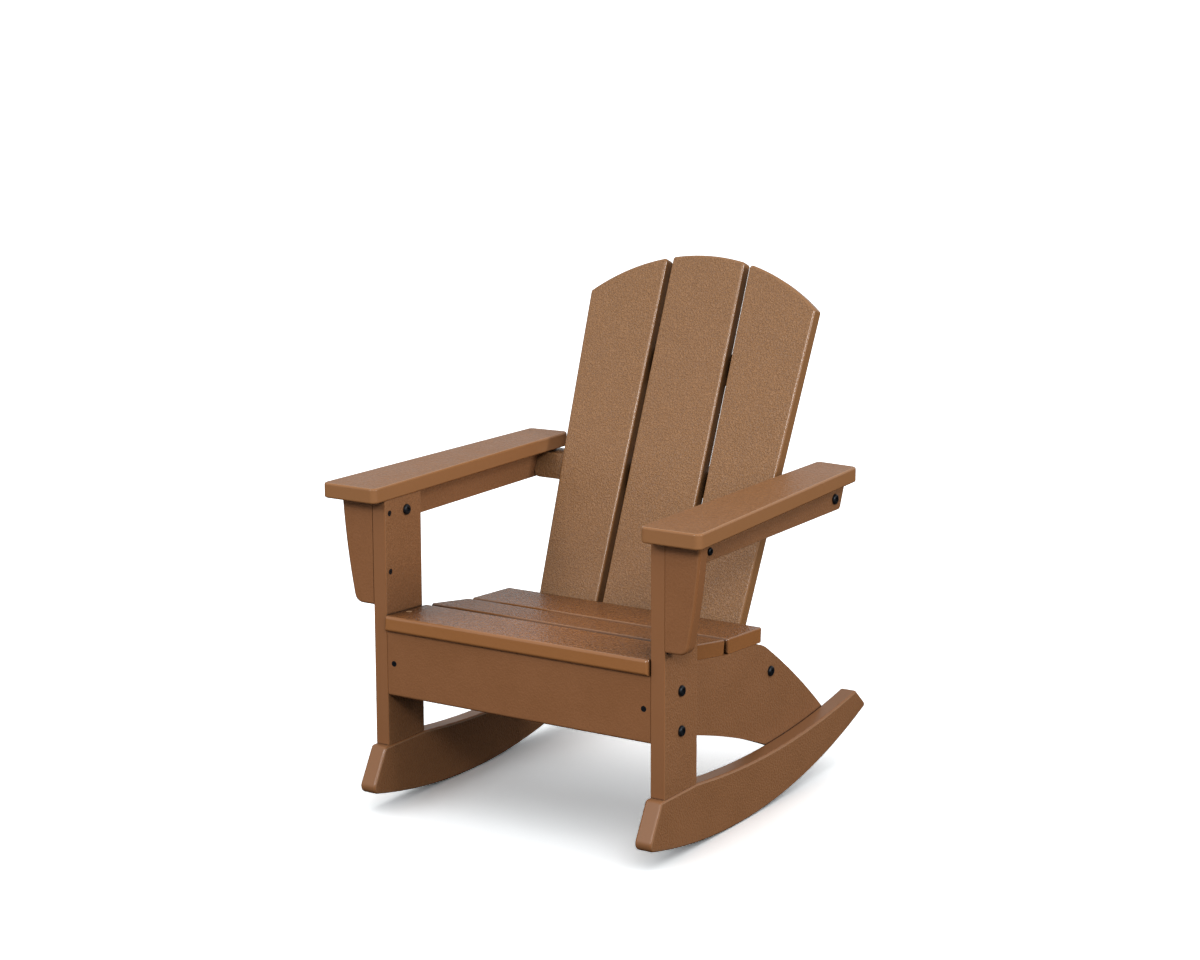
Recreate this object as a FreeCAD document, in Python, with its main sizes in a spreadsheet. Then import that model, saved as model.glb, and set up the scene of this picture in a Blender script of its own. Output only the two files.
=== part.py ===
import FreeCAD, Part
import math
import os
import Sketcher

# A child-size rocking Adirondack chair built from flat boards with rounded edges.
# X runs across the chair, the seat faces -Y, Z is up and the rockers touch Z = 0.
# Depths are first given from the front face of the front legs, and every piece is
# then shifted by depth_centre so that the origin is under the middle of the chair.

SIZES = [
    # stock
    ("board_thick", 19.0, "thickness of the boards"),
    ("edge_round", 3.6, "rounding along the board edges"),
    ("fit_gap", 0.15, "clearance between pieces that pass or face each other"),
    ("slat_gap", 8.0, "open gap between two slats"),
    ("depth_centre", 236.18, "depth of the origin behind the leg fronts"),
    # front legs
    ("leg_spacing", 373.5, "clear width between the front legs"),
    ("leg_width", 74.0, "depth of a front leg"),
    ("leg_round", 1.2, "rounding along the leg edges"),
    # rockers
    ("rocker_thick", 22.6, "thickness of a rocker"),
    ("rocker_round", 3.0, "rounding along the rocker edges"),
    ("rocker_top", 78.6, "height of the rocker top under the leg"),
    ("rocker_nose", 8.0, "rocker top ahead of the leg front"),
    ("rocker_toe_out", 37.0, "lower front corner ahead of the leg front"),
    ("rocker_toe_round", 9.0, "rounding of the lower front corner"),
    ("rocker_corner_round", 4.2, "rounding of the other rocker corners"),
    ("rocker_low", 177.0, "depth of the lowest point of the rocker"),
    ("rocker_base_radius", 880.0, "radius of the rolling edge"),
    ("rocker_top_radius", 1313.0, "radius of the upper edge behind the leg"),
    ("rocker_tail_top_out", 479.0, "depth of the upper rear corner"),
    ("rocker_tail_top_up", 90.5, "height of the upper rear corner"),
    ("rocker_tail_out", 508.5, "depth of the lower rear corner"),
    # side panels, seat line
    ("seat_front_up", 224.6, "seat line height at the leg fronts"),
    ("seat_second_out", 84.8, "depth of the first bend of the seat line"),
    ("seat_second_drop", 4.4, "first bend below the start of the seat line"),
    ("seat_third_out", 174.6, "depth of the second bend"),
    ("seat_third_drop", 17.3, "second bend below the start"),
    ("seat_rear_out", 259.0, "depth of the crest, where the seat line ends"),
    ("seat_rear_drop", 21.8, "crest below the start"),
    ("crest_radius", 74.0, "rounding of the crest"),
    ("panel_rear_radius", 1215.0, "radius of the long rear curve"),
    ("panel_tail_out", 447.0, "depth of the tail corner"),
    ("panel_tail_lap", 25.4, "tail corner below the rocker's upper edge"),
    ("panel_low_radius", 1461.0, "radius of the lower edge"),
    ("lap_heel_out", 333.0, "where the lower edge ends, at the lap's foot"),
    ("lap_depth", 27.0, "how far the panel laps down over the rocker"),
    # front apron
    ("apron_set_back", 0.5, "apron face behind the leg fronts"),
    ("apron_drop", 82.2, "apron's lower edge below the start of the seat line"),
    ("panel_rise", 3.1, "panel's lower front corner above the apron's lower edge"),
    # seat slats
    ("slat_end_gap", 0.2, "gap between a slat end and the leg"),
    ("seat_overhang", 6.2, "front slat ahead of the leg fronts"),
    ("rear_slat_width", 84.5, "width of the rear slat"),
    ("slat_end_round", 2.0, "rounding of the slats' and the upper brace's ends"),
    ("slat_corner", 4.0, "rounding of the back slats' corners"),
    # back
    ("recline", 22.45, "lean of the back from upright, in degrees"),
    ("back_behind", 18.2, "back's face behind the crest, at seat height"),
    ("back_drop", 3.6, "seat height at the back below the start of the seat line"),
    ("centre_slat_width", 105.4, "width of the middle back slat"),
    ("back_inset", 38.15, "back's edge inside the leg's inner face, at seat height"),
    ("back_flare", 0.043, "outward slope of the back's edges"),
    ("crown_radius", 263.5, "radius of the top of the back"),
    ("crown_centre", 194.7, "height of that centre along the back"),
    ("back_below", 79.0, "back slats below seat height"),
    ("upper_brace_at", 297.4, "lower edge of the upper brace along the back"),
    ("brace_width", 39.0, "width of the upper and lower braces"),
    ("upper_brace_inset", 16.0, "end of the upper brace inside the back's edge"),
    ("lower_brace_at", -72.25, "lower edge of the lower brace along the back"),
    ("arm_brace_thick", 32.0, "thickness of the brace that carries the arms"),
    ("arm_brace_drop", 3.0, "top of that brace below the arms"),
    ("arm_brace_height", 31.0, "height of that brace"),
    ("arm_brace_corner", 9.0, "rounding of that brace's lower ends"),
    # arms
    ("arm_top", 403.5, "height of the arm tops"),
    ("arm_front", 22.6, "arm ahead of the leg fronts"),
    ("arm_lip", 2.0, "arm inside the leg's inner face"),
    ("arm_front_width", 79.7, "width of the arm at the front"),
    ("arm_rear_width", 58.4, "width of the arm at the rear"),
    ("arm_rear_short", 4.4, "outer rear corner ahead of the rail's end"),
    ("arm_rear_skew", 5.0, "inner rear corner behind the outer one"),
    ("arm_corner", 8.0, "rounding of the arm's corners"),
    ("arm_round", 2.6, "rounding along the arm edges"),
    ("rail_height", 35.0, "height of the rails under the arms"),
    ("rail_beyond", 5.0, "rail's end behind the arm brace"),
    ("rail_round", 1.0, "rounding along the rail's outer edges"),
    ("rail_corner", 6.0, "rounding of the rail's lower rear corner"),
    ("bracket_top_width", 46.0, "width of the bracket at the arm"),
    ("bracket_low_width", 28.0, "width of the bracket at its foot"),
    ("bracket_height", 131.0, "height of the bracket"),
    ("bracket_corner", 12.0, "rounding of the bracket's foot"),
    ("bracket_bow", 900.0, "radius of the bracket's outer edge"),
    # fasteners
    ("bolt_shank", 6.4, "bolt shank diameter"),
    ("bolt_head", 13.0, "bolt head diameter"),
    ("bolt_head_height", 3.4, "bolt head height"),
    ("bolt_head_round", 2.4, "rounding of the bolt head"),
    ("bolt_socket", 5.0, "socket across flats"),
    ("bolt_socket_depth", 2.2, "socket depth"),
    ("button_shank", 4.0, "rail screw shank diameter"),
    ("button_head", 9.6, "rail screw head diameter"),
    ("button_head_height", 2.6, "rail screw head height"),
    ("button_head_round", 1.8, "rounding of the rail screw head"),
    ("button_socket", 3.4, "rail screw socket across flats"),
    ("button_socket_depth", 1.6, "rail screw socket depth"),
    ("screw_shank", 4.0, "screw shank diameter"),
    ("screw_head", 7.0, "screw head diameter"),
    ("screw_head_height", 2.4, "screw head height"),
    ("screw_recess", 1.6, "drive recess across"),
    ("screw_recess_depth", 1.2, "drive recess depth"),
    ("pilot_wall", 5.4, "wood left ahead of a blind pilot hole"),
    ("leg_bolt_length", 34.0, "bolt through leg and panel"),
    ("leg_bolt_low", 9.9, "lower leg bolt above the apron's lower edge"),
    ("leg_bolt_high", 22.4, "upper leg bolt below the seat line"),
    ("brace_bolt_length", 52.0, "bolt into the end of a brace"),
    ("arm_bolt_down", 2.4, "arm brace bolt below the rail's middle"),
    ("arm_bolt_behind", 1.5, "arm brace bolt behind that brace's middle"),
    ("low_bolt_behind", 1.7, "lower brace bolt behind that brace's middle"),
    ("rail_bolt_length", 32.0, "bolt through leg into rail"),
    ("rail_bolt_behind", 6.5, "rail bolt behind the leg's middle"),
    ("rail_bolt_rise", 17.1, "rail bolt above the rail's lower edge"),
    ("rail_screw_inset", 6.7, "rail screw ahead of the leg's rear edge"),
    ("rail_screw_rise", 11.8, "rail screw above the rail's lower edge"),
    ("screw_length", 32.0, "length of the screws"),
    ("bracket_screw_drop", 16.5, "upper bracket screw below the arm"),
    ("bracket_screw_rise", 42.2, "lower bracket screw above the bracket's foot"),
    ("seat_screw_inset", 13.35, "seat screws behind the panel's front end"),
    ("lap_screw_front", 20.0, "front lap screw behind the lap's front corner"),
    ("lap_screw_rear", 33.0, "rear lap screw ahead of the panel's tail"),
    ("lap_screw_down", 14.0, "lap screw below the rocker top"),
    ("brace_screw_inset", 24.0, "brace screw from the slat's edge"),
]

doc = FreeCAD.newDocument("rocking_chair")
sheet = doc.addObject("Spreadsheet::Sheet", "sizes")
value = {}
for row, (alias, number, note) in enumerate(SIZES, start=1):
    sheet.set("A%d" % row, note)
    sheet.set("B%d" % row, str(number))
    sheet.setAlias("B%d" % row, alias)
doc.recompute()
for alias, number, note in SIZES:
    value[alias] = float(sheet.get(alias))


class Size:
    """A length that carries both its number and the formula that gives it."""

    def __init__(self, number, formula):
        self.number = number
        self.formula = formula

    def _join(self, other, sign, result):
        return Size(result, "(%s %s %s)" % (self.formula, sign, size(other).formula))

    def __add__(self, other):
        return self._join(other, "+", self.number + size(other).number)

    def __sub__(self, other):
        return self._join(other, "-", self.number - size(other).number)

    def __mul__(self, other):
        return self._join(other, "*", self.number * size(other).number)

    def __truediv__(self, other):
        return self._join(other, "/", self.number / size(other).number)

    def __radd__(self, other):
        return size(other) + self

    def __rsub__(self, other):
        return size(other) - self

    def __rmul__(self, other):
        return size(other) * self

    def __neg__(self):
        return size(0) - self


def size(thing):
    """A Size from an alias of the sheet, from a number or from a Size."""
    if isinstance(thing, Size):
        return thing
    if isinstance(thing, str):
        return Size(value[thing], "sizes." + thing)
    return Size(float(thing), repr(float(thing)))


def square_root(length):
    return Size(math.sqrt(length.number), "sqrt(%s)" % length.formula)


def sine(angle):
    return Size(math.sin(math.radians(angle.number)), "sin(%s)" % angle.formula)


def cosine(angle):
    return Size(math.cos(math.radians(angle.number)), "cos(%s)" % angle.formula)


# lengths that several pieces share
thick = size("board_thick")
gap = size("fit_gap")
leg_in = size("leg_spacing") / 2
leg_out = leg_in + thick
panel_in = leg_in - thick
shift = -size("depth_centre")
rocker_proud = (size("rocker_thick") - thick) / 2
rocker_in = leg_in - rocker_proud
arm_under = size("arm_top") - thick
arm_in = leg_in - size("arm_lip")
rail_under = arm_under - size("rail_height")
lean_sin = sine(size("recline"))
lean_cos = cosine(size("recline"))
lean_tan = lean_sin / lean_cos
slat_half = leg_in - size("slat_end_gap")
seat_second_up = size("seat_front_up") - size("seat_second_drop")
seat_third_up = size("seat_front_up") - size("seat_third_drop")
seat_rear_up = size("seat_front_up") - size("seat_rear_drop")
apron_low = size("seat_front_up") - size("apron_drop")
back_out = size("seat_rear_out") + size("back_behind")
back_up = size("seat_front_up") - size("back_drop")
back_half = leg_in - size("back_inset")
centre_half = size("centre_slat_width") / 2
side_in = centre_half + size("slat_gap")
shank_hole = size("bolt_shank") / 2 + gap
screw_hole = size("screw_shank") / 2 + gap
button_hole = size("button_shank") / 2 + gap
rail_reach = thick + size("arm_brace_thick") + size("rail_beyond")


def rolling_height(out):
    """Height of the rolling edge of the rocker at a depth."""
    reach = out - size("rocker_low")
    radius = size("rocker_base_radius")
    return radius - square_root(radius * radius - reach * reach)


def new_body(label, x, y, z, lean=None):
    """An empty body with its label and its bound placement."""
    body = doc.addObject("PartDesign::Body", label)
    body.Label = label
    turn = FreeCAD.Rotation(FreeCAD.Vector(-1, 0, 0), lean.number if lean else 0)
    body.Placement = FreeCAD.Placement(
        FreeCAD.Vector(x.number, y.number, z.number), turn)
    body.setExpression("Placement.Base.x", x.formula)
    body.setExpression("Placement.Base.y", y.formula)
    body.setExpression("Placement.Base.z", z.formula)
    if lean:
        body.setExpression("Placement.Rotation.Angle", lean.formula)
    return body


def origin_plane(body, role):
    for feature in body.Origin.OriginFeatures:
        if feature.Role == role:
            return feature
    raise ValueError(role)


def new_sketch(body, role, name, offset=None):
    """A sketch on one of the body's own planes, moved along its normal."""
    sketch = body.newObject("Sketcher::SketchObject", name)
    sketch.AttachmentSupport = [(origin_plane(body, role), "")]
    sketch.MapMode = "FlatFace"
    if offset is not None:
        sketch.AttachmentOffset = FreeCAD.Placement(
            FreeCAD.Vector(0, 0, offset.number), FreeCAD.Rotation())
        sketch.setExpression("AttachmentOffset.Base.z", offset.formula)
    return sketch


def bind(sketch, kind, geometry, position, length):
    """One dimension from the sketch's origin to a point, bound to its formula."""
    index = sketch.addConstraint(Sketcher.Constraint(
        kind, -1, 1, geometry, position, length.number))
    sketch.setExpression("Constraints[%d]" % index, length.formula)


def arc_between(start, end, radius, left):
    """An arc between two points, its centre left or right of the way along."""
    span = end - start
    half = span.Length / 2
    rise = math.sqrt(max(radius * radius - half * half, 0))
    side = FreeCAD.Vector(-span.y, span.x, 0).normalize()
    centre = start + span * 0.5 + side * (rise if left else -rise)
    first, last = (start, end) if left else (end, start)
    circle = Part.Circle(centre, FreeCAD.Vector(0, 0, 1), radius)
    angle_a = math.atan2(first.y - centre.y, first.x - centre.x)
    angle_b = math.atan2(last.y - centre.y, last.x - centre.x)
    return Part.ArcOfCircle(circle, angle_a, angle_b)


def draw_outline(sketch, corners, arcs=None):
    """A closed outline through the corners; arcs holds edge: (radius, left)."""
    arcs = arcs or {}
    ends = []
    count = len(corners)
    points = [FreeCAD.Vector(x.number, y.number, 0) for x, y in corners]
    for i in range(count):
        start, end = points[i], points[(i + 1) % count]
        if i in arcs:
            radius, left = arcs[i]
            line = sketch.addGeometry(arc_between(start, end, radius.number, left))
            ends.append((line, 1, 2) if left else (line, 2, 1))
        else:
            line = sketch.addGeometry(Part.LineSegment(start, end))
            ends.append((line, 1, 2))
    for i in range(count):
        here, following = ends[i], ends[(i + 1) % count]
        sketch.addConstraint(Sketcher.Constraint(
            "Coincident", here[0], here[2], following[0], following[1]))
    for i in range(count):
        bind(sketch, "DistanceX", ends[i][0], ends[i][1], corners[i][0])
        bind(sketch, "DistanceY", ends[i][0], ends[i][1], corners[i][1])
        if i in arcs:
            index = sketch.addConstraint(Sketcher.Constraint(
                "Radius", ends[i][0], arcs[i][0].number))
            sketch.setExpression("Constraints[%d]" % index, arcs[i][0].formula)


def draw_circles(sketch, centres, radius):
    for x, y in centres:
        circle = sketch.addGeometry(Part.Circle(
            FreeCAD.Vector(x.number, y.number, 0), FreeCAD.Vector(0, 0, 1),
            radius.number))
        bind(sketch, "DistanceX", circle, 3, x)
        bind(sketch, "DistanceY", circle, 3, y)
        index = sketch.addConstraint(Sketcher.Constraint(
            "Radius", circle, radius.number))
        sketch.setExpression("Constraints[%d]" % index, radius.formula)


def pad(body, sketch, length, backwards=False):
    feature = body.newObject("PartDesign::Pad", "Pad")
    feature.Profile = sketch
    feature.Length = length.number
    feature.setExpression("Length", length.formula)
    feature.Reversed = backwards
    doc.recompute()
    return feature


def pocket(body, sketch, depth, backwards=False):
    """A pocket to a depth that must take material away."""
    before = body.Shape.Volume
    feature = body.newObject("PartDesign::Pocket", "Pocket")
    feature.Profile = sketch
    feature.Length = depth.number
    feature.setExpression("Length", depth.formula)
    feature.Reversed = backwards
    doc.recompute()
    if not body.Shape.Volume < before:
        raise ValueError("nothing cut in " + body.Label)
    return feature


def round_edges(body, radius, chosen):
    """Round the edges that the chosen test picks, from the body's own frame."""
    base = body.Tip
    names = []
    for number, edge in enumerate(base.Shape.Edges, start=1):
        if chosen([vertex.Point for vertex in edge.Vertexes]):
            names.append("Edge%d" % number)
    if not names:
        raise ValueError("no edge to round in " + body.Label)
    feature = body.newObject("PartDesign::Fillet", "Fillet")
    feature.Base = (base, names)
    feature.Radius = radius.number
    feature.setExpression("Radius", radius.formula)
    doc.recompute()
    if not body.Shape.isValid():
        raise ValueError("rounding failed in " + body.Label)
    return feature


def near(a, b):
    return abs(a - b) < 0.01


def along(axis):
    """A test for the edges that run along one axis."""
    others = [k for k in range(3) if k != axis]

    def test(points):
        first, last = points[0], points[-1]
        return len(points) > 1 and all(near(first[k], last[k]) for k in others)
    return test


def on_faces(axis):
    """A test for the edges that lie in a plane square to one axis."""
    def test(points):
        return len(points) > 1 and near(points[0][axis], points[-1][axis])
    return test


def at_corner(axis, places):
    """A test for the edges along one axis at the given pairs of coordinates."""
    others = [k for k in range(3) if k != axis]
    straight = along(axis)

    def test(points):
        if not straight(points):
            return False
        return any(near(points[0][others[0]], a.number)
                   and near(points[0][others[1]], b.number) for a, b in places)
    return test


# side pieces: each is drawn on its inner face and thickened away from the middle


def side_body(label, side, inner):
    return new_body(label, inner * side, shift, size(0))


def side_pad(body, side, corners, arcs, thickness):
    sketch = new_sketch(body, "YZ_Plane", "Outline")
    draw_outline(sketch, corners, arcs)
    pad(body, sketch, thickness, backwards=side < 0)


def side_holes(body, side, centres, radius, depth, start=None):
    """Round holes from a depth inside the inner face outwards."""
    offset = (start if start is not None else size(0)) * side
    sketch = new_sketch(body, "YZ_Plane", "Holes", offset)
    draw_circles(sketch, centres, radius)
    pocket(body, sketch, depth, backwards=side > 0)


def rocker_corners():
    toe = (-size("rocker_toe_out"), rolling_height(-size("rocker_toe_out")))
    tail = (size("rocker_tail_out"), rolling_height(size("rocker_tail_out")))
    return [
        (-size("rocker_nose"), size("rocker_top")),
        toe,
        tail,
        (size("rocker_tail_top_out"), size("rocker_tail_top_up")),
        (size("leg_width"), size("rocker_top")),
    ]


def make_rocker(label, side):
    """Curved board; its top is level under the leg and hollow behind it."""
    body = side_body(label, side, rocker_in)
    corners = rocker_corners()
    side_pad(body, side, corners, {
        1: (size("rocker_base_radius"), True),
        3: (size("rocker_top_radius"), False)}, size("rocker_thick"))
    round_edges(body, size("rocker_toe_round"), at_corner(0, [corners[1]]))
    round_edges(body, size("rocker_corner_round"),
                at_corner(0, [corners[0], corners[2], corners[3]]))
    round_edges(body, size("rocker_round"), on_faces(0))
    side_holes(body, side, lap_screws(), screw_hole,
               size("screw_length") - (rocker_in - panel_in) + gap)
    return body


def hollow_height(out):
    """Height of the rocker's upper edge behind the leg, at a depth."""
    ax, ay = size("leg_width"), size("rocker_top")
    bx, by = size("rocker_tail_top_out"), size("rocker_tail_top_up")
    radius = size("rocker_top_radius")
    dx, dy = (bx - ax) / 2, (by - ay) / 2
    half = square_root(dx * dx + dy * dy)
    rise = square_root(radius * radius - half * half)
    cx = ax + dx - dy / half * rise
    cy = ay + dy + dx / half * rise
    return cy - square_root(radius * radius - (out - cx) * (out - cx))


def lap_screws():
    places = []
    for out in (size("lap_heel_out") + size("lap_screw_front"),
                size("panel_tail_out") - size("lap_screw_rear")):
        places.append((out, hollow_height(out) - size("lap_screw_down")))
    return places


def make_leg(label, side):
    """Upright board from the rocker top to the underside of the arm."""
    body = side_body(label, side, leg_in)
    wide = size("leg_width")
    low, high = size("rocker_top"), arm_under
    side_pad(body, side, [
        (size(0), low), (wide, low), (wide, high), (size(0), high)], {}, thick)
    round_edges(body, size("leg_round"), along(2))
    side_holes(body, side, leg_bolt_places() + [rail_bolt_place()], shank_hole, thick)
    side_holes(body, side, bracket_screw_places(), screw_hole, thick)
    depth = size("screw_length") - thick + gap
    side_holes(body, side, [rail_screw_place()], button_hole, depth, thick - depth)
    side_holes(body, side, bracket_screw_places(), size("screw_head") / 2 + gap,
               size("screw_head_height"))
    return body


def leg_bolt_places():
    middle = size("leg_width") / 2
    return [(middle, apron_low + size("leg_bolt_low")),
            (middle, seat_front_height(middle) - size("leg_bolt_high") + gap)]


def rail_bolt_place():
    return (size("leg_width") / 2 + size("rail_bolt_behind"),
            rail_under + size("rail_bolt_rise"))


def rail_screw_place():
    return (size("leg_width") - size("rail_screw_inset"),
            rail_under + size("rail_screw_rise"))


def bracket_screw_places():
    foot = arm_under - size("bracket_height")
    return [(thick / 2, arm_under - size("bracket_screw_drop")),
            (thick / 2, foot + size("bracket_screw_rise"))]


def seat_front_height(out):
    """Height of the seat line over its first stretch."""
    slope = (seat_second_up - size("seat_front_up")) / size("seat_second_out")
    return size("seat_front_up") + slope * out


def panel_front():
    return size("apron_set_back") + thick + gap


def make_panel(label, side):
    """Seat side board from the apron to its tail, lapped inside the rocker."""
    body = side_body(label, side, panel_in)
    heel_out = size("lap_heel_out")
    tail_out = size("panel_tail_out")
    corners = [
        (panel_front(), seat_front_height(panel_front())),
        (panel_front(), apron_low + size("panel_rise")),
        (heel_out, hollow_height(heel_out) - size("lap_depth")),
        (tail_out, hollow_height(tail_out) - size("panel_tail_lap")),
        (size("seat_rear_out"), seat_rear_up),
        (size("seat_third_out"), seat_third_up),
        (size("seat_second_out"), seat_second_up),
    ]
    side_pad(body, side, corners, {
        1: (size("panel_low_radius"), False),
        2: (size("rocker_top_radius") + size("lap_depth"), True),
        3: (size("panel_rear_radius"), True)}, thick)
    round_edges(body, size("crest_radius"), at_corner(0, [corners[4]]))
    cut_lap(body, side)
    side_holes(body, side, leg_bolt_places() + [low_bolt_place()], shank_hole, thick)
    side_holes(body, side, lap_screws(), screw_hole, thick)
    side_holes(body, side, lap_screws(), size("screw_head") / 2 + gap,
               size("screw_head_height"))
    bore_panel_ends(body, side)
    return body


def low_bolt_place():
    return from_back(thick * 1.5 + size("low_bolt_behind"),
                     size("lower_brace_at") + size("brace_width") / 2)


def cut_lap(body, side):
    """A shallow step in the outer face that takes the rocker's inner edge."""
    sketch = new_sketch(body, "YZ_Plane", "Lap", (thick - rocker_proud) * side)
    tail = size("rocker_tail_top_out") + size("rocker_nose")
    start = size("leg_width")
    draw_outline(sketch, [
        (start, size("rocker_top") + gap),
        (start, size(0)),
        (tail, size(0)),
        (tail, size("rocker_tail_top_up") + gap),
        (size("rocker_tail_top_out"), size("rocker_tail_top_up") + gap)],
        {4: (size("rocker_top_radius"), False)})
    pocket(body, sketch, rocker_proud * 2, backwards=side > 0)


def bore_panel_ends(body, side):
    """Pilot bores for the apron screw and the front slat's screw."""
    middle = thick / 2 * side
    front = new_sketch(body, "XZ_Plane", "FrontBore", -panel_front())
    draw_circles(front, [(middle, apron_screw_height())], screw_hole)
    pocket(body, front, size("screw_length") - thick + gap, backwards=False)
    seat = seat_screw_place()
    top = new_sketch(body, "XY_Plane", "TopBore", seat[1] + gap * 2)
    draw_circles(top, [(middle, seat[0])], screw_hole)
    pocket(body, top, size("screw_length") - thick + gap * 3, backwards=False)


def apron_screw_height():
    """Half way up the apron's front face."""
    front = size("apron_set_back")
    return (apron_low + seat_front_height(front)) / 2


def seat_screw_place():
    out = panel_front() + size("seat_screw_inset")
    return (out, seat_front_height(out))


def make_apron():
    """Board between the legs; its top follows the underside of the front slat."""
    body = new_body("front_apron", -(leg_in - gap), shift, size(0))
    front = size("apron_set_back")
    back = front + thick
    low = apron_low
    sketch = new_sketch(body, "YZ_Plane", "Outline")
    corners = [(front, seat_front_height(front)), (front, low), (back, low),
               (back, seat_front_height(back))]
    draw_outline(sketch, corners)
    pad(body, sketch, (leg_in - gap) * 2)
    round_edges(body, size("edge_round"), at_corner(0, corners[1:3]))
    reach = leg_in - gap
    middle = leg_in - thick / 2
    holes = new_sketch(body, "XZ_Plane", "Holes", -front)
    centres = [(reach - middle, apron_screw_height()),
               (reach + middle, apron_screw_height())]
    draw_circles(holes, centres, screw_hole)
    pocket(body, holes, thick, backwards=False)
    heads = new_sketch(body, "XZ_Plane", "Heads", -front)
    draw_circles(heads, centres, size("screw_head") / 2 + gap)
    pocket(body, heads, size("screw_head_height"), backwards=False)
    return body


def seat_slat(label, start, end, first, width, at_end=False):
    """A slat laid on the seat line between two bends of that line.

    first is its front edge, measured along the line from the first bend, or
    from the second bend when at_end is set."""
    run = end[0] - start[0]
    rise = end[1] - start[1]
    length = square_root(run * run + rise * rise)
    ux, uy = run / length, rise / length
    base = end if at_end else start
    ax, ay = base[0] + ux * first, base[1] + uy * first
    bx, by = ax + ux * width, ay + uy * width
    body = new_body(label, -slat_half, shift, size(0))
    sketch = new_sketch(body, "YZ_Plane", "Outline")
    corners = [(ax, ay), (bx, by), (bx - uy * thick, by + ux * thick),
               (ax - uy * thick, ay + ux * thick)]
    draw_outline(sketch, corners)
    pad(body, sketch, slat_half * 2)
    round_edges(body, size("slat_end_round"), upper_ends(corners))
    round_edges(body, size("edge_round"), along(0))
    return body


def upper_ends(corners):
    """A test for the two upper edges at a slat's ends."""
    def test(points):
        ends = len(points) > 1 and near(points[0].x, points[-1].x)
        return ends and all(any(near(point.y, corner[0].number)
                                and near(point.z, corner[1].number)
                                for corner in corners[2:]) for point in points)
    return test


def seat_bends():
    return [
        (size(0), size("seat_front_up")),
        (size("seat_second_out"), seat_second_up),
        (size("seat_third_out"), seat_third_up),
        (size("seat_rear_out"), seat_rear_up),
    ]


def stretch(start, end):
    run, rise = end[0] - start[0], end[1] - start[1]
    return square_root(run * run + rise * rise)


def make_seat():
    """Three slats, each flat on its own stretch of the contoured seat line."""
    bends = seat_bends()
    half_gap = size("slat_gap") / 2
    over = size("seat_overhang")
    front = seat_slat("seat_slat_front", bends[0], bends[1], -over,
                      stretch(bends[0], bends[1]) + over - half_gap)
    bore_front_slat(front)
    seat_slat("seat_slat_middle", bends[1], bends[2], half_gap,
              stretch(bends[1], bends[2]) - half_gap * 2)
    seat_slat("seat_slat_rear", bends[2], bends[3], half_gap, size("rear_slat_width"))


def bore_front_slat(body):
    """Upright holes for the two screws into the tops of the side panels."""
    place = seat_screw_place()
    middle = leg_in - thick / 2
    centres = [(slat_half - middle, place[0]), (slat_half + middle, place[0])]
    through = new_sketch(body, "XY_Plane", "Holes", place[1] + thick * 2)
    draw_circles(through, centres, screw_hole)
    pocket(body, through, thick * 3, backwards=False)
    heads = new_sketch(body, "XY_Plane", "Heads", place[1] + thick * 2)
    draw_circles(heads, centres, size("screw_head") / 2 + gap)
    pocket(body, heads, thick + size("screw_head_height"), backwards=False)


# back: drawn square to the back, with height along the back, then leaned


def back_body(label, x):
    return new_body(label, x, back_out + shift, back_up,
                    size("recline"))


def crown_height(x):
    radius = size("crown_radius")
    return size("crown_centre") + square_root(radius * radius - x * x)


def crown_corner():
    """Where the flared outer edge meets the crown's circle."""
    flare = size("back_flare")
    base = back_half + flare * size("crown_centre")
    radius = size("crown_radius")
    a = flare * flare + 1
    b = base * flare
    c = base * base - radius * radius
    lift = (square_root(b * b - a * c) - b) / a
    return (base + flare * lift, size("crown_centre") + lift)


def back_slat(label, corners, arcs):
    body = back_body(label, size(0))
    sketch = new_sketch(body, "XZ_Plane", "Outline")
    draw_outline(sketch, corners, arcs)
    pad(body, sketch, thick, backwards=True)
    round_edges(body, size("slat_corner"), at_corner(1, corners))
    round_edges(body, size("edge_round"), on_faces(1))
    bore_back(body, [point for point in brace_screws()
                     if inside_slat(corners, point)])
    return body


def inside_slat(corners, point):
    xs = [corner[0].number for corner in corners]
    return min(xs) < point[0].number < max(xs)


def bore_back(body, centres):
    """Blind pilot holes from behind, short of the front face."""
    sketch = new_sketch(body, "XZ_Plane", "Holes", -thick)
    draw_circles(sketch, centres, screw_hole)
    pocket(body, sketch, pilot_depth(), backwards=True)


def pilot_depth():
    return thick - size("pilot_wall")


def brace_levels():
    half = size("brace_width") / 2
    arm_level = (rail_under + size("rail_height") / 2 - back_up) / lean_cos
    return [size("upper_brace_at") + half, arm_level + thick * lean_tan,
            size("lower_brace_at") + half]


def brace_screws():
    """Two screws for each slat at each brace, at their height along the back."""
    inset = size("brace_screw_inset")
    places = []
    for level in brace_levels():
        edge = back_half + size("back_flare") * level
        for x in (centre_half - inset, side_in + inset, edge - inset):
            places.append((x, level))
            places.append((-x, level))
    return places


def make_back():
    """Three slats under one round crown."""
    low = -size("back_below")
    crown = size("crown_radius")
    top = crown_height(centre_half)
    back_slat("back_slat_center", [
        (centre_half, low), (centre_half, top), (-centre_half, top),
        (-centre_half, low)], {1: (crown, True)})
    corner_x, corner_z = crown_corner()
    low_x = back_half - size("back_flare") * size("back_below")
    back_slat("back_slat_right", [
        (low_x, low), (corner_x, corner_z), (side_in, crown_height(side_in)),
        (side_in, low)], {1: (crown, True)})
    back_slat("back_slat_left", [
        (-side_in, low), (-side_in, crown_height(side_in)), (-corner_x, corner_z),
        (-low_x, low)], {1: (crown, True)})


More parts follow.
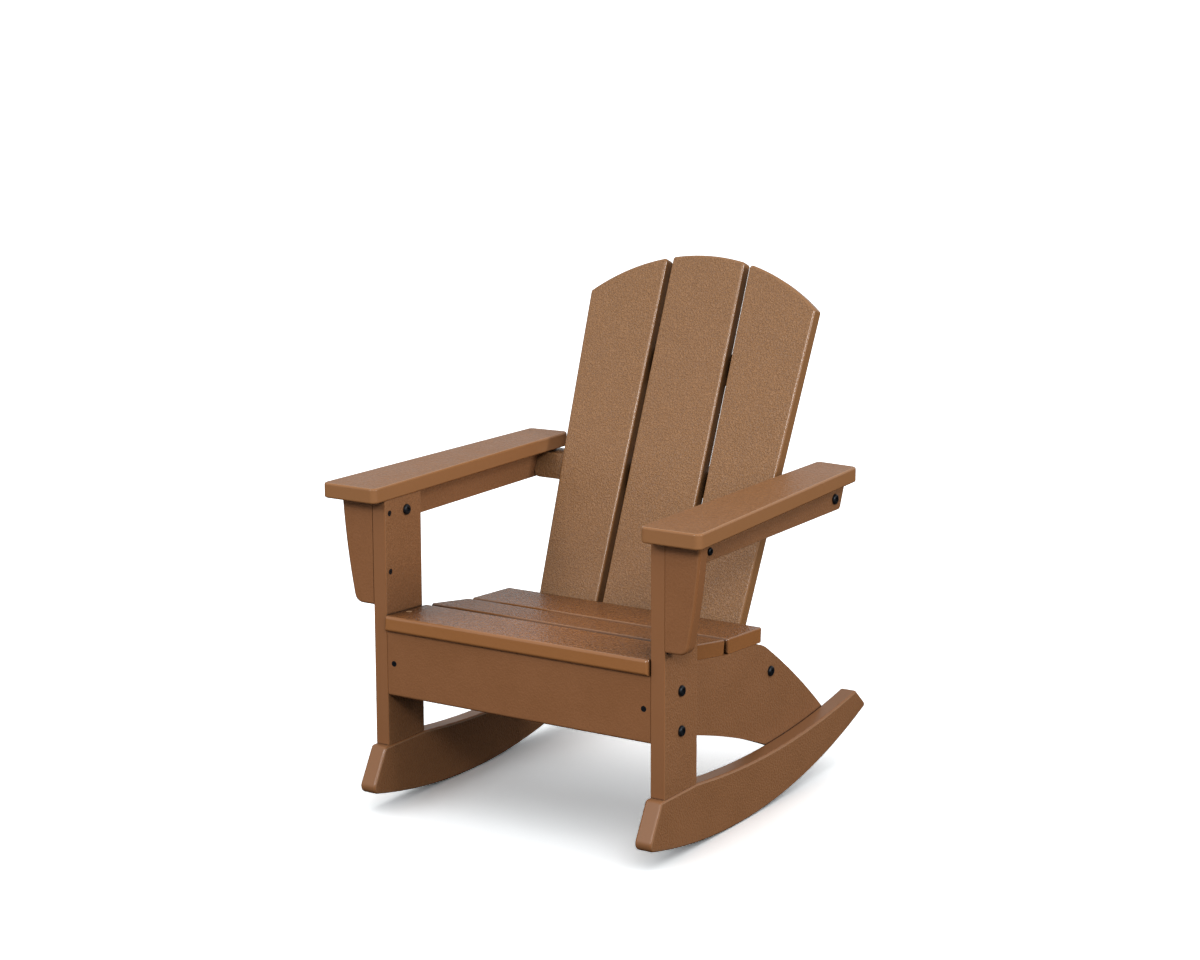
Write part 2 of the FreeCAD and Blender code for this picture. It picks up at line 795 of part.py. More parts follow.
def make_braces():
    """Boards behind the slats: upper, arm level and lower."""
    upper = size("upper_brace_at") + size("brace_width") / 2
    half = back_half + size("back_flare") * upper - size("upper_brace_inset")
    flat_brace("upper_back_brace", half, size("upper_brace_at"), True)
    lower = flat_brace("lower_back_brace", panel_in - gap, size("lower_brace_at"),
                       False)
    bore_brace_ends(lower, low_bolt_place(), panel_in - gap)
    arm_brace()


def flat_brace(label, half, low, rounded):
    body = back_body(label, -half)
    high = low + size("brace_width")
    sketch = new_sketch(body, "YZ_Plane", "Outline")
    corners = [(thick, low), (thick * 2, low), (thick * 2, high), (thick, high)]
    draw_outline(sketch, corners)
    pad(body, sketch, half * 2)
    round_edges(body, size("edge_round"), along(0))
    if rounded:
        round_edges(body, size("slat_end_round"), on_faces(0))
    level = low + size("brace_width") / 2
    bore_brace(body, half, level, thick, thick)
    return body


def bore_brace(body, half, level, front, depth):
    sketch = new_sketch(body, "XZ_Plane", "Holes", -(front + depth))
    centres = [(half + x, z) for x, z in brace_screws() if near(z.number, level.number)]
    draw_circles(sketch, centres, screw_hole)
    pocket(body, sketch, depth * 2, backwards=True)
    heads = new_sketch(body, "XZ_Plane", "Heads", -(front + depth))
    draw_circles(heads, centres, size("screw_head") / 2 + gap)
    pocket(body, heads, size("screw_head_height"), backwards=True)


def on_back(out, up):
    """A point of the side view in the leaned frame: depth, height along."""
    y = out - back_out
    z = up - back_up
    return (y * lean_cos - z * lean_sin, y * lean_sin + z * lean_cos)


def from_back(deep, along_back):
    """A point of the leaned frame in the side view: depth and height."""
    return (back_out + deep * lean_cos + along_back * lean_sin,
            back_up - deep * lean_sin + along_back * lean_cos)


def bore_brace_ends(body, place, half):
    """A bore for the side bolt in each end of a brace."""
    depth = size("brace_bolt_length") - thick + gap
    y, z = on_back(place[0], place[1])
    near_end = new_sketch(body, "YZ_Plane", "BoreA")
    draw_circles(near_end, [(y, z)], shank_hole)
    pocket(body, near_end, depth, backwards=True)
    far_end = new_sketch(body, "YZ_Plane", "BoreB", half * 2)
    draw_circles(far_end, [(y, z)], shank_hole)
    pocket(body, far_end, depth, backwards=False)


def arm_brace():
    """Thick brace that joins the rails, its top level and just below the arms."""
    half = leg_out - gap
    body = back_body("arm_back_brace", -half)
    deep = size("arm_brace_thick")
    top = arm_under - size("arm_brace_drop")
    lift = (top - back_up) / lean_cos
    base = (top - size("arm_brace_height") - back_up) / lean_cos
    corners = [
        (thick, base + thick * lean_tan),
        (thick + deep, base + (thick + deep) * lean_tan),
        (thick + deep, lift + (thick + deep) * lean_tan),
        (thick, lift + thick * lean_tan)]
    sketch = new_sketch(body, "YZ_Plane", "Outline")
    draw_outline(sketch, corners)
    pad(body, sketch, half * 2)

    def low_end(points):
        low = [near(point.z, corner[1].number) for point in points
               for corner in corners[:2]]
        return len(points) > 1 and near(points[0].x, points[-1].x) and sum(low) > 1
    round_edges(body, size("arm_brace_corner"), low_end)
    level = brace_levels()[1]
    bore_brace(body, half, level, thick, deep)
    bore_brace_ends(body, arm_bolt_place(), half)
    return body


# arms, rails and brackets


def make_arm(label, side):
    """Flat tapered board on the leg, the bracket, the rail and the brace."""
    body = new_body(label, arm_in * side, shift, arm_under)
    front = -size("arm_front")
    rear = arm_rear()
    inner_rear = rear + size("arm_rear_skew")
    corners = [(size(0), front), (size("arm_front_width") * side, front),
               (size("arm_rear_width") * side, rear), (size(0), inner_rear)]
    sketch = new_sketch(body, "XY_Plane", "Outline")
    draw_outline(sketch, corners)
    pad(body, sketch, thick)
    round_edges(body, size("arm_corner"), along(2))
    round_edges(body, size("arm_round"), on_faces(2))
    return body


def back_depth(up, offset):
    """Depth of a plane of the back at a height, offset behind the slats' face."""
    return back_out + (up - back_up) * lean_tan + offset / lean_cos


def arm_bolt_place():
    """On the middle of the arm brace, a little below the rail's middle."""
    up = rail_under + size("rail_height") / 2 - size("arm_bolt_down")
    deep = thick + size("arm_brace_thick") / 2 + size("arm_bolt_behind")
    return (back_depth(up, deep), up)


def arm_rear():
    return back_depth(arm_under, rail_reach) - size("arm_rear_short")


def make_rail(label, side):
    """Bar outside the leg, under the arm, from the bracket to the arm brace."""
    body = side_body(label, side, leg_out)
    corners = [
        (thick + gap, arm_under), (thick + gap, rail_under),
        (back_depth(rail_under, rail_reach), rail_under),
        (back_depth(arm_under, rail_reach), arm_under)]
    side_pad(body, side, corners, {}, thick)
    round_edges(body, size("rail_corner"), at_corner(0, [corners[2]]))
    outer = (thick * side).number

    def outer_edges(points):
        return len(points) > 1 and near(points[0].x, outer) and near(points[-1].x, outer)
    round_edges(body, size("rail_round"), outer_edges)
    side_holes(body, side, [arm_bolt_place(), rail_bolt_place()], shank_hole, thick)
    side_holes(body, side, [rail_screw_place()], button_hole, thick)
    return body


def make_bracket(label, side):
    """Tapered board square to the leg's outer face, under the arm's front."""
    body = new_body(label, leg_out * side, shift, arm_under - size("bracket_height"))
    high = size("bracket_height")
    corners = [
        (size(0), size(0)), (size("bracket_low_width") * side, size(0)),
        (size("bracket_top_width") * side, high), (size(0), high)]
    sketch = new_sketch(body, "XZ_Plane", "Outline")
    draw_outline(sketch, corners, {1: (size("bracket_bow"), side > 0)})
    pad(body, sketch, thick, backwards=True)
    round_edges(body, size("bracket_corner"), at_corner(1, [corners[1]]))
    outer = (size("bracket_low_width") * side).number / 4

    def open_edges(points):
        if len(points) < 2 or not near(points[0].y, points[-1].y):
            return False
        beyond = all(abs(point.x) > abs(outer) for point in points)
        bottom = all(point.z < high.number / 2 for point in points)
        return beyond or bottom
    round_edges(body, size("edge_round"), open_edges)
    low = arm_under - size("bracket_height")
    sketch = new_sketch(body, "YZ_Plane", "Holes")
    places = [(y, z - low) for y, z in bracket_screw_places()]
    draw_circles(sketch, places, screw_hole)
    pocket(body, sketch, size("screw_length") - thick, backwards=side > 0)
    return body


# fasteners: one shape of each kind, set down at every place it is used


def bolt_shape(length, kind="bolt"):
    """Round head with a six-sided socket on a plain shank, head outwards on -X."""
    rise = value[kind + "_head_height"]
    axis = FreeCAD.Vector(1, 0, 0)
    top = FreeCAD.Vector(-rise, 0, 0)
    head = Part.makeCylinder(value[kind + "_head"] / 2, rise, top, axis)
    rims = [edge for edge in head.Edges
            if all(near(vertex.X, -rise) for vertex in edge.Vertexes)]
    head = head.makeFillet(value[kind + "_head_round"], rims)
    shank = Part.makeCylinder(value[kind + "_shank"] / 2, length,
                              FreeCAD.Vector(0, 0, 0), axis)
    reach = value[kind + "_socket"] / math.sqrt(3)
    turns = [math.radians(60 * k) for k in range(7)]
    ring = [FreeCAD.Vector(-rise, reach * math.cos(turn), reach * math.sin(turn))
            for turn in turns]
    socket = Part.Face(Part.makePolygon(ring)).extrude(
        FreeCAD.Vector(value[kind + "_socket_depth"], 0, 0))
    return head.fuse(shank).removeSplitter().cut(socket)


def screw_shape(length):
    """Flush round head with a square drive on a plain shank, head outwards on -X."""
    axis = FreeCAD.Vector(1, 0, 0)
    origin = FreeCAD.Vector(0, 0, 0)
    head = Part.makeCylinder(value["screw_head"] / 2, value["screw_head_height"],
                             origin, axis)
    shank = Part.makeCylinder(value["screw_shank"] / 2, length, origin, axis)
    drive = value["screw_recess"]
    square = Part.makeBox(value["screw_recess_depth"], drive, drive,
                          FreeCAD.Vector(0, -drive / 2, -drive / 2))
    return head.fuse(shank).removeSplitter().cut(square)


def set_down(shape, x, y, z, turn):
    """A copy with its axis turned and its head's seat at the point."""
    copy = shape.copy()
    copy.Placement = FreeCAD.Placement(FreeCAD.Vector(x, y, z), turn)
    return copy


def fastener_group(label, shapes):
    """Separate solids of one kind in one node, placed with the chair."""
    feature = doc.addObject("Part::Feature", label)
    feature.Label = label
    feature.Shape = Part.makeCompound(shapes)
    feature.Placement = FreeCAD.Placement(
        FreeCAD.Vector(0, shift.number, 0), FreeCAD.Rotation())
    return feature


def across(side, outward):
    """Turn that points a fastener's shank along X, in or out from a side."""
    direction = side if outward else -side
    return FreeCAD.Rotation(FreeCAD.Vector(0, 0, 1), 0 if direction > 0 else 180)


def both_sides(shape, x, places, outward):
    copies = []
    for side in (1, -1):
        for y, z in places:
            copies.append(set_down(shape, side * x.number, y.number, z.number,
                                   across(side, outward)))
    return copies


def make_bolts():
    rail_out = leg_out + thick
    fastener_group("leg_bolts", both_sides(
        bolt_shape(value["leg_bolt_length"]), leg_out, leg_bolt_places(), False))
    long_bolt = bolt_shape(value["brace_bolt_length"])
    fastener_group("brace_bolts", both_sides(
        long_bolt, rail_out, [arm_bolt_place()], False)
        + both_sides(long_bolt, leg_in, [low_bolt_place()], False))
    fastener_group("rail_bolts", both_sides(
        bolt_shape(value["rail_bolt_length"]), leg_in, [rail_bolt_place()], True))


def make_screws():
    screw = screw_shape(value["screw_length"])
    fastener_group("bracket_screws", both_sides(
        screw, leg_in, bracket_screw_places(), True))
    fastener_group("rail_screws", both_sides(
        bolt_shape(value["screw_length"], "button"), leg_out + thick,
        [rail_screw_place()], False))
    fastener_group("rocker_screws", both_sides(screw, panel_in, lap_screws(), True))
    middle = (leg_in - thick / 2).number
    backwards = FreeCAD.Rotation(FreeCAD.Vector(0, 0, 1), 90)
    front = size("apron_set_back").number
    fastener_group("apron_screws", [
        set_down(screw, side * middle, front, apron_screw_height().number, backwards)
        for side in (1, -1)])
    downwards = FreeCAD.Rotation(FreeCAD.Vector(0, 1, 0), 90)
    place = seat_screw_place()
    top = place[1].number + value["board_thick"]
    fastener_group("seat_screws", [
        set_down(screw, side * middle, place[0].number, top, downwards)
        for side in (1, -1)])


def make_back_screws():
    """Screws through the braces into the slats, driven from behind."""
    deep = thick.number
    lengths = {0: 2 * deep, 1: value["arm_brace_thick"] + deep, 2: 2 * deep}
    lean = FreeCAD.Rotation(FreeCAD.Vector(-1, 0, 0), value["recline"])
    base = FreeCAD.Vector(0, back_out.number, back_up.number)
    forwards = FreeCAD.Rotation(FreeCAD.Vector(0, 0, 1), -90)
    short = thick.number - pilot_depth().number + gap.number
    groups = {"upper_brace_screws": [0], "arm_brace_screws": [1],
              "lower_brace_screws": [2]}
    for label, numbers in groups.items():
        copies = []
        for number in numbers:
            level = brace_levels()[number].number
            screw = screw_shape(lengths[number] - short)
            for x, z in brace_screws():
                if near(z.number, level):
                    seat = FreeCAD.Vector(x.number, lengths[number], z.number)
                    point = base + lean.multVec(seat)
                    copies.append(set_down(screw, point.x, point.y, point.z,
                                           lean.multiply(forwards)))
        fastener_group(label, copies)


def check_and_write():
    """Every object must be sound before any file is written."""
    for item in doc.Objects:
        for state in item.State:
            if state in ("Invalid", "Error"):
                raise ValueError("%s is %s" % (item.Label, state))
    nodes = [item for item in doc.Objects
             if item.TypeId in ("PartDesign::Body", "Part::Feature")]
    for item in nodes:
        if item.Shape.isNull() or not item.Shape.isValid():
            raise ValueError("bad shape: " + item.Label)
    os.makedirs("parts", exist_ok=True)
    for item in nodes:
        item.Shape.exportStep(os.path.join("parts", item.Label + ".step"))


def main():
    for name, side in (("right", 1), ("left", -1)):
        make_rocker("rocker_" + name, side)
        make_leg("front_leg_" + name, side)
        make_panel("side_panel_" + name, side)
        make_arm("arm_" + name, side)
        make_rail("arm_rail_" + name, side)
        make_bracket("arm_bracket_" + name, side)
    make_apron()
    make_seat()
    make_back()
    make_braces()
    make_bolts()
    make_screws()
    make_back_screws()
    doc.recompute()
    check_and_write()


main()
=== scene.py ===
"""Finishes and studio for a small rocking Adirondack chair made of brown plastic boards.

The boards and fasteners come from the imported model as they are. This file gives each
of them its finish, and sets up the floor, the lights and the camera.
"""

import math
from typing import NamedTuple

import bpy
from bpy.props import (
    FloatProperty,
    FloatVectorProperty,
    PointerProperty,
)
from mathutils import Matrix, Vector

bl_info = {
    "name": "Rocking Adirondack Chair",
    "version": (1, 0, 0),
    "blender": (4, 5, 0),
    "location": "3D View > Sidebar > Chair",
    "description": "Finishes for the boards and fasteners of a rocking chair, and its studio",
    "category": "Object",
}

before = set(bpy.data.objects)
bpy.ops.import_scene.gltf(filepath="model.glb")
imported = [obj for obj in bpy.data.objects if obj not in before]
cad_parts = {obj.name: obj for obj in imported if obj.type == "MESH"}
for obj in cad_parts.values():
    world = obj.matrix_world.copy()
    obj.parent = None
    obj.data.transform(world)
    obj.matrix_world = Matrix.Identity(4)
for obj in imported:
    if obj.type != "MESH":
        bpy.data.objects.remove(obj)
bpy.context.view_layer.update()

MM = 0.001
SIDES = ("right", "left")
WHITE = (1.0, 1.0, 1.0)

# the way the wide faces of each kind of board look, in the chair's own axes
BACK_LEAN = math.radians(22.45)
ACROSS = (1.0, 0.0, 0.0)
FORWARD = (0.0, 1.0, 0.0)
UPWARD = (0.0, 0.0, 1.0)
BACKWARD_LEAN = (0.0, math.cos(BACK_LEAN), -math.sin(BACK_LEAN))

# how squarely a surface looks the way of the wide faces, from 0 on the narrow sides to 1
# on the wide faces: where the rounded edge sets in, where the wide face does, and where
# the painted highlight on the shoulder between them comes and goes
ROUNDED_EDGE = (0.06, 0.25)
WIDE_FACE = (0.90, 0.985)
HIGHLIGHT_COMES = (0.84, 0.93)
HIGHLIGHT_GOES = (0.965, 0.995)

# the values of a noise at which what is made of it sets in and is full
LUMP_VALUES = (0.36, 0.66)
SPECK_VALUES = (0.36, 0.64)
CLOUD_VALUES = (0.3, 0.7)
SCRATCH_VALUES = (0.52, 0.72)
PLUG_VALUES = (0.35, 0.65)

# the boards' coating, as shares of the pebbles' height and width
LUMP_HEIGHT = 0.85
FINE_HEIGHT = 0.3
FINE_WIDTH = 0.4
COATING_ON_EDGES = 0.03

# browns, as shares of the board's own: the clouds' random tone, the painted shade of hollows,
# seams and corners, and the painted glints of the specks
CLOUD_SHADE = 0.035
HOLLOW_SHADE_BROWN = 0.55
SPECK_GLINT_BROWN = (1.5, 1.6, 1.7)
PAINTED_SEAM_BROWN = 0.04
CORNER_SHADE_BROWN = 0.1

CLOUD_ROUGHNESS = 0.06
PLASTIC_IOR = 1.5

# the black coating with its smoother scratches, and the plugs with their rougher grain
COATING_METAL = 0.6
SCRATCH_POLISH = 0.08
PLUG_ROUGHNESS = 0.05
PLUG_SHADE = 0.85
FASTENER_RELIEF = 0.6

# the shelter at which the floor's contact shade is full, and at which it ends
CONTACT_VALUES = (0.4, 0.95)

# the lights look at one point in the chair; places and widths are in metres
LIGHT_TARGET = (0.0, 0.0, 0.3)
FRONT_LIGHT_PLACES = {
    "right_front_light": (2.27, -2.71, 2.18),
    "left_front_light": (-0.91, -3.41, 2.18),
}
FRONT_LIGHT_WIDTH = 0.7
SIDE_LIGHT_PLACE = (3.76, -0.1, 1.67)
SIDE_LIGHT_WIDTH = 0.8

# the picture in pixels, the camera's sensor in millimetres and its far end in metres
PICTURE_WIDTH = 1200
PICTURE_HEIGHT = 960
SENSOR_WIDTH = 36.0
FAR_CLIP = 200.0


class BoardKind(NamedTuple):
    """How one kind of board differs from the plain board of the settings."""

    wide_face: tuple  # the way its wide faces look
    start: tuple  # where its pattern starts, which keeps like boards from matching
    tone: tuple = WHITE  # its brown, as shares of the plain brown: its own colour, partly tinted as painted sheen
    painted_edge_light: tuple = WHITE  # painted light: its edges' and narrow faces' brown, as shares of its own
    grain: float = 1.0  # factor of the pebbles' height and contrast
    lump: float = 1.0  # factor of the pebbles' and specks' width
    gloss: float = 1.0  # factor of the reflection
    polish: float = 0.0  # taken off the roughness
    highlight_share: float = 1.0  # factor of the painted highlight on its edges
    corner_shade: float = 0.0  # strength of the soft shade in its corners
    painted_seam_spread: float = 1.0  # factor of the reach of the painted seam shade
    painted_seam_values: tuple = (0.38, 0.89)  # the shelter where the painted seam shade is darkest and where it ends


ROCKER = BoardKind(ACROSS, (0.0, 0.0, 0.0), tone=(0.97, 1.03, 1.08), gloss=0.9)
SIDE = BoardKind(ACROSS, (0.37, 0.11, 0.05), tone=(1.04, 1.09, 1.12),
                 painted_edge_light=(1.04, 1.01, 1.0), gloss=1.3, corner_shade=0.4)
FRONT = BoardKind(FORWARD, (0.13, 0.52, 0.29), grain=0.35, highlight_share=0.2,
                  painted_seam_values=(0.45, 0.95))
SEAT = BoardKind(UPWARD, (0.71, 0.23, 0.41), tone=(1.18, 1.02, 0.73),
                 painted_edge_light=(1.05, 1.19, 1.38), grain=3.2, lump=1.4, gloss=2.2,
                 polish=0.16, highlight_share=0.9, corner_shade=1.7, painted_seam_spread=2.5,
                 painted_seam_values=(0.5, 0.92))
# painted shade: the middle slat is given a darker brown than the front and rear ones
SEAT_SLATS = {
    "front": SEAT,
    "middle": SEAT._replace(start=(0.53, 0.23, 0.41), tone=(1.06, 0.9, 0.64)),
    "rear": SEAT._replace(start=(0.29, 0.23, 0.41), tone=(1.16, 0.99, 0.7)),
}
BACK = BoardKind(BACKWARD_LEAN, (0.19, 0.83, 0.67), tone=(1.075, 1.2, 1.13), grain=2.1,
                 lump=0.85, gloss=1.4, highlight_share=0.4, corner_shade=0.3, painted_seam_spread=8.0,
                 painted_seam_values=(0.12, 0.36))
ARM = BoardKind(UPWARD, (0.47, 0.31, 0.93), tone=(1.03, 1.06, 1.0),
                painted_edge_light=(1.15, 1.2, 1.24), grain=1.6, lump=1.5, highlight_share=1.5)
RAIL = BoardKind(ACROSS, (0.59, 0.17, 0.37), tone=(1.0, 1.05, 1.1))


def tinted(colour, factors):
    return tuple(channel * factor for channel, factor in zip(colour, factors))


def shaded(colour, factor):
    return tinted(colour, (factor, factor, factor))


def with_alpha(colour):
    """A colour as a socket takes it; what comes from a node stays as it is."""
    return colour if isinstance(colour, Value) else (*colour, 1.0)


class Value:
    """What a node gives, with arithmetic that adds Math nodes."""

    def __init__(self, nodes, socket):
        self.nodes = nodes
        self.socket = socket

    def _math(self, operation, *terms):
        return self.nodes.node("Math", {"operation": operation}, dict(enumerate(terms)))

    def __add__(self, other):
        return self._math("ADD", self, other)

    def __sub__(self, other):
        return self._math("SUBTRACT", self, other)

    def __mul__(self, other):
        return self._math("MULTIPLY", self, other)

    def __radd__(self, other):
        return self._math("ADD", other, self)

    def __rsub__(self, other):
        return self._math("SUBTRACT", other, self)

    def __rmul__(self, other):
        return self._math("MULTIPLY", other, self)

    def size(self):
        """The value without its sign."""
        return self._math("ABSOLUTE", self)


class Nodes:
    """The emptied node tree of a material or a world, and calls for the nodes in it."""

    def __init__(self, owner):
        owner.use_nodes = True
        self.tree = owner.node_tree
        self.tree.nodes.clear()

    def node(self, kind, settings=None, sockets=None, output=0):
        """One node: its settings first, then the values or links of its sockets."""
        node = self.tree.nodes.new("ShaderNode" + kind)
        for key, setting in (settings or {}).items():
            setattr(node, key, setting)
        for key, term in (sockets or {}).items():
            if isinstance(term, Value):
                self.tree.links.new(term.socket, node.inputs[key])
            else:
                node.inputs[key].default_value = term
        return Value(self, node.outputs[output]) if node.outputs else None

    def between(self, value, low, high, start=0.0, end=1.0):
        """A smooth step from start to end as the value goes from low to high."""
        return self.node("MapRange", {"interpolation_type": "SMOOTHSTEP"}, {
            "Value": value, "From Min": low, "From Max": high,
            "To Min": start, "To Max": end})

    def mix(self, factor, first, second):
        """Two colours mixed by a value from 0 to 1."""
        return self.node("Mix", {"data_type": "RGBA"}, {
            0: factor, 6: with_alpha(first), 7: with_alpha(second)}, output=2)

    def mix_shaders(self, factor, first, second):
        return self.node("MixShader", sockets={0: factor, 1: first, 2: second})


class Finish(Nodes):
    """A new material, with calls for what its surface is like."""

    def __init__(self, name):
        self.material = bpy.data.materials.new(name)
        super().__init__(self.material)

    def shifted(self, offset):
        """Where a point lies on the chair, in metres, moved by the offset."""
        place = self.node("TexCoord", output="Object")
        return self.node("Mapping", sockets={"Vector": place, "Location": offset})

    def noise(self, place, grain_width, detail=2.0, roughness=0.5):
        """Soft noise whose lumps are about grain_width across, from 0 to 1."""
        return self.node("TexNoise", sockets={
            "Vector": place, "Scale": 1.0 / grain_width, "Detail": detail,
            "Roughness": roughness})

    def facing(self, direction):
        """1 where the surface looks along the direction or against it, 0 across it."""
        normal = self.node("NewGeometry", output="Normal")
        return self.node("VectorMath", {"operation": "DOT_PRODUCT"}, {
            0: normal, 1: direction}, output="Value").size()

    def sheltered(self, reach):
        """1 in the open, lower in corners and seams narrower than the reach."""
        return self.node("AmbientOcclusion", {"samples": 8}, {"Distance": reach},
                         output="AO")

    def raised(self, height, distance, strength=1.0):
        return self.node("Bump", sockets={
            "Height": height, "Distance": distance, "Strength": strength})

    def complete(self, surface):
        """The material with the surface as its output."""
        self.node("OutputMaterial", sockets={"Surface": surface})
        return self.material


class BoardFinish(Finish):
    """Brown plastic lumber: pebbled on its wide faces, smooth and shiny along its edges."""

    def __init__(self, name, settings, kind):
        super().__init__(name)
        self.settings = settings
        self.kind = kind
        self.brown = tinted(settings.colour, kind.tone)
        self.place = self.shifted(kind.start)
        self.squareness = self.facing(kind.wide_face)
        self.wide = self.between(self.squareness, *WIDE_FACE)
        self.pebble_width = settings.pebble_width * kind.lump
        pebbles = self.noise(self.place, self.pebble_width, detail=1.5, roughness=0.55)
        self.lumps = self.between(pebbles, *LUMP_VALUES)
        clouds = self.noise(self.place, settings.cloud_width, detail=3.0, roughness=0.6)
        self.clouds = self.between(clouds, *CLOUD_VALUES)

    def relief(self):
        """The pebbled coating, which ends at the rounded edges."""
        fine = self.noise(self.place, self.pebble_width * FINE_WIDTH, detail=1.0)
        coating = self.lumps * LUMP_HEIGHT + fine * FINE_HEIGHT
        share = COATING_ON_EDGES + (1.0 - COATING_ON_EDGES) * self.wide
        return self.raised(coating * share, self.settings.pebble_height * self.kind.grain)

    def pebbled(self):
        """The wide faces' brown: cloudy, with painted shade in the hollows and pale specks
        painted as glints of sheen.
        """
        body = self.mix(self.clouds, shaded(self.brown, 1.0 - CLOUD_SHADE),
                        shaded(self.brown, 1.0 + CLOUD_SHADE))
        hollow_shade = self.settings.hollow_shade * self.kind.grain
        hollows = (1.0 - self.lumps) * self.wide * hollow_shade
        hollowed = self.mix(hollows, body, shaded(self.brown, HOLLOW_SHADE_BROWN))
        grains = self.noise(self.place, self.settings.speck_width * self.kind.lump, detail=1.0)
        speck_glint_strength = self.settings.speck_glint_strength * self.kind.grain
        specks = self.between(grains, *SPECK_VALUES) * self.wide * speck_glint_strength
        return self.mix(specks, hollowed, tinted(self.brown, SPECK_GLINT_BROWN))

    def edged(self, colour):
        """The colour on the wide faces, the edges' brown with painted light beside it, and a
        painted highlight along the shoulders.
        """
        both = self.mix(self.wide, tinted(self.brown, self.kind.painted_edge_light), colour)
        comes = self.between(self.squareness, *HIGHLIGHT_COMES)
        goes = self.between(self.squareness, *HIGHLIGHT_GOES)
        painted_highlight = comes * (1.0 - goes) * (self.settings.edge_highlight * self.kind.highlight_share)
        return self.mix(painted_highlight, both, self.settings.edge_highlight_colour)

    def with_painted_seam_shade(self, colour):
        """The colour, with painted shade where another board is close."""
        shelter = self.sheltered(self.settings.painted_seam_reach * self.kind.painted_seam_spread)
        seams = self.between(shelter, *self.kind.painted_seam_values, 1.0, 0.0)
        return self.mix(seams * self.settings.seam_shade, colour,
                        shaded(self.brown, PAINTED_SEAM_BROWN))

    def with_corners(self, colour):
        """The colour with the soft shade of the board's corners."""
        corners = (1.0 - self.sheltered(self.settings.corner_reach)) * self.kind.corner_shade
        return self.mix(corners, colour, shaded(self.brown, CORNER_SHADE_BROWN))

    def roughness(self):
        """Rougher where the clouds are pale, smoother along the rounded edges."""
        plain = self.settings.roughness - self.kind.polish
        cloudy = plain + CLOUD_ROUGHNESS * (self.clouds - 0.5)
        rounded = self.between(self.squareness, *ROUNDED_EDGE) * (1.0 - self.wide)
        return cloudy - self.settings.edge_shine * rounded

    def board(self):
        colour = self.with_painted_seam_shade(self.edged(self.pebbled()))
        if self.kind.corner_shade:
            colour = self.with_corners(colour)
        return self.complete(self.node("BsdfPrincipled", sockets={
            "Base Color": colour,
            "Roughness": self.roughness(),
            "Normal": self.relief(),
            "IOR": PLASTIC_IOR,
            "Specular IOR Level": self.settings.gloss * self.kind.gloss,
        }))


def fastener_finish(name, settings):
    """Black coated steel with faint scratches and a cool sheen."""
    finish = Finish(name)
    scratches = finish.noise(finish.shifted((0.3, 0.1, 0.7)), settings.scratch_width,
                             detail=3.0, roughness=0.65)
    rubbed = finish.between(scratches, *SCRATCH_VALUES)
    return finish.complete(finish.node("BsdfPrincipled", sockets={
        "Base Color": finish.mix(rubbed, settings.colour, settings.rubbed_colour),
        "Metallic": COATING_METAL,
        "Roughness": settings.roughness - SCRATCH_POLISH * rubbed,
        "Normal": finish.raised(scratches, settings.scratch_depth, FASTENER_RELIEF),
    }))


def plug_finish(name, settings):
    """The pale brown plugs over the seat's screws."""
    finish = Finish(name)
    grain = finish.noise(finish.shifted((0.7, 0.3, 0.1)), settings.plug_grain_width)
    pale = finish.between(grain, *PLUG_VALUES)
    return finish.complete(finish.node("BsdfPrincipled", sockets={
        "Base Color": finish.mix(pale, shaded(settings.plug_colour, PLUG_SHADE),
                                 settings.plug_colour),
        "Roughness": settings.roughness + PLUG_ROUGHNESS * grain,
        "Normal": finish.raised(grain, settings.plug_grain_height, FASTENER_RELIEF),
    }))


def floor_finish(name, settings):
    """Pale floor with painted contact shade under the rockers; it throws little of its own
    light back at the chair.
    """
    finish = Finish(name)
    contact = finish.between(finish.sheltered(settings.contact_reach), *CONTACT_VALUES)
    colour = finish.mix(contact, shaded(settings.floor_colour, settings.contact_shade),
                        settings.floor_colour)
    pale = finish.node("BsdfDiffuse", sockets={"Color": colour})
    bounce = with_alpha(shaded(WHITE, settings.floor_bounce))
    dim = finish.node("BsdfDiffuse", sockets={"Color": bounce})
    seen = finish.node("LightPath", output="Is Camera Ray")
    return finish.complete(finish.mix_shaders(seen, dim, pale))


def dress(nodes, material):
    """Give CAD nodes a finish in place of the plain one that they come with."""
    for name in nodes:
        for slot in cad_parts[name].material_slots:
            slot.material = material


def dress_boards(context, nodes, name, kind):
    """Give CAD nodes a new finish of one kind of board."""
    dress(nodes, BoardFinish(name, context.scene.chair_boards, kind).board())


def pair(stem):
    return ["%s_%s" % (stem, side) for side in SIDES]


